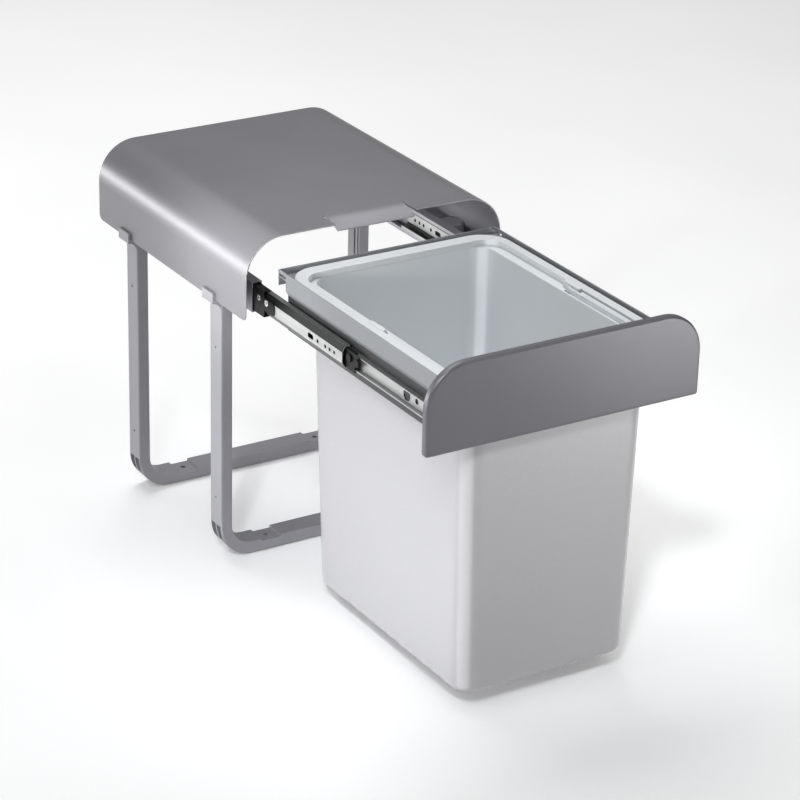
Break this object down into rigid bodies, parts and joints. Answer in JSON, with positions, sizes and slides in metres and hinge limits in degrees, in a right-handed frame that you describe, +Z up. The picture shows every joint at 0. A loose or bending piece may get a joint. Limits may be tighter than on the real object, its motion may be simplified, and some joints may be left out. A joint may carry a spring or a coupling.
{
  "type": "pull out trash cabinet",
  "caption": "Slim under-sink pull-out waste bin: a steel hood on U-shaped floor frames, a carriage with a front panel on ball bearing slides, and a lift-out bucket with a bail handle.",
  "frame": {"origin": "on the cabinet floor, at the centre of the four floor screw holes", "axes": "+X to the right, +Y to the back of the cabinet, -Y the way the bucket pulls out, +Z up"},
  "size_m": [0.2572, 0.5665, 0.3205],
  "materials": {
    "hood_paint": "satin",
    "panel_paint": "satin",
    "carriage_paint": "satin",
    "frame_plastic": "satin silver grey",
    "rail_steel": "bright zinc",
    "cage_plastic": "black",
    "ball_steel": "polished",
    "screw_steel": "zinc",
    "bucket_plastic": "silver metallic",
    "handle_plastic": "silver metallic"
  },
  "bodies": {
    "stand": {"hood_cover": "hood_paint", "front_u_frame": "frame_plastic", "rear_u_frame": "frame_plastic", "slide_fixed_left": "rail_steel", "slide_fixed_right": "rail_steel", "slide_mount_screws": "screw_steel"},
    "carriage": {"carriage_frame": "carriage_paint", "front_panel": "panel_paint", "panel_nuts": "screw_steel", "slide_bracket_left": "carriage_paint", "slide_bracket_right": "carriage_paint", "slide_inner_left": "rail_steel", "slide_inner_right": "rail_steel", "inner_slide_screws": "screw_steel"},
    "bucket": {"bucket": "bucket_plastic"},
    "handle": {"bail_handle": "handle_plastic"},
    "middle_rail_left": {"slide_middle_left": "rail_steel"},
    "outer_retainer_left": {"outer_cage_left": "cage_plastic", "outer_balls_left": "ball_steel", "eyelet_left": "rail_steel"},
    "inner_retainer_left": {"inner_cage_left": "cage_plastic", "inner_balls_left": "ball_steel"},
    "middle_rail_right": {"slide_middle_right": "rail_steel"},
    "outer_retainer_right": {"outer_cage_right": "cage_plastic", "outer_balls_right": "ball_steel", "eyelet_right": "rail_steel"},
    "inner_retainer_right": {"inner_cage_right": "cage_plastic", "inner_balls_right": "ball_steel"}
  },
  "joints": [
    {"name": "pull_out", "type": "slide", "parent": "stand", "child": "carriage", "axis": [0, -1, 0], "range_m": [-0.284, 0]},
    {"name": "middle_rail_left_slide", "type": "slide", "parent": "stand", "child": "middle_rail_left", "axis": [0, -1, 0], "range_m": [-0.142, 0]},
    {"name": "outer_retainer_left_slide", "type": "slide", "parent": "stand", "child": "outer_retainer_left", "axis": [0, -1, 0], "range_m": [-0.071, 0]},
    {"name": "inner_retainer_left_slide", "type": "slide", "parent": "stand", "child": "inner_retainer_left", "axis": [0, -1, 0], "range_m": [-0.213, 0]},
    {"name": "middle_rail_right_slide", "type": "slide", "parent": "stand", "child": "middle_rail_right", "axis": [0, -1, 0], "range_m": [-0.142, 0]},
    {"name": "outer_retainer_right_slide", "type": "slide", "parent": "stand", "child": "outer_retainer_right", "axis": [0, -1, 0], "range_m": [-0.071, 0]},
    {"name": "inner_retainer_right_slide", "type": "slide", "parent": "stand", "child": "inner_retainer_right", "axis": [0, -1, 0], "range_m": [-0.213, 0]},
    {"name": "bucket_lift", "type": "slide", "parent": "carriage", "child": "bucket", "axis": [0, 0, 1], "range_m": [0, 0.32]},
    {"name": "handle_swing", "type": "hinge", "parent": "bucket", "child": "handle", "pos_m": [0, -0.30135, 0.294], "axis": [-1, 0, 0], "range_deg": [0, 180]}
  ],
  "couplings": [
    {"joint": "middle_rail_left_slide", "follows": "pull_out", "ratio": 0.5},
    {"joint": "outer_retainer_left_slide", "follows": "pull_out", "ratio": 0.25},
    {"joint": "inner_retainer_left_slide", "follows": "pull_out", "ratio": 0.75},
    {"joint": "middle_rail_right_slide", "follows": "pull_out", "ratio": 0.5},
    {"joint": "outer_retainer_right_slide", "follows": "pull_out", "ratio": 0.25},
    {"joint": "inner_retainer_right_slide", "follows": "pull_out", "ratio": 0.75}
  ]
}
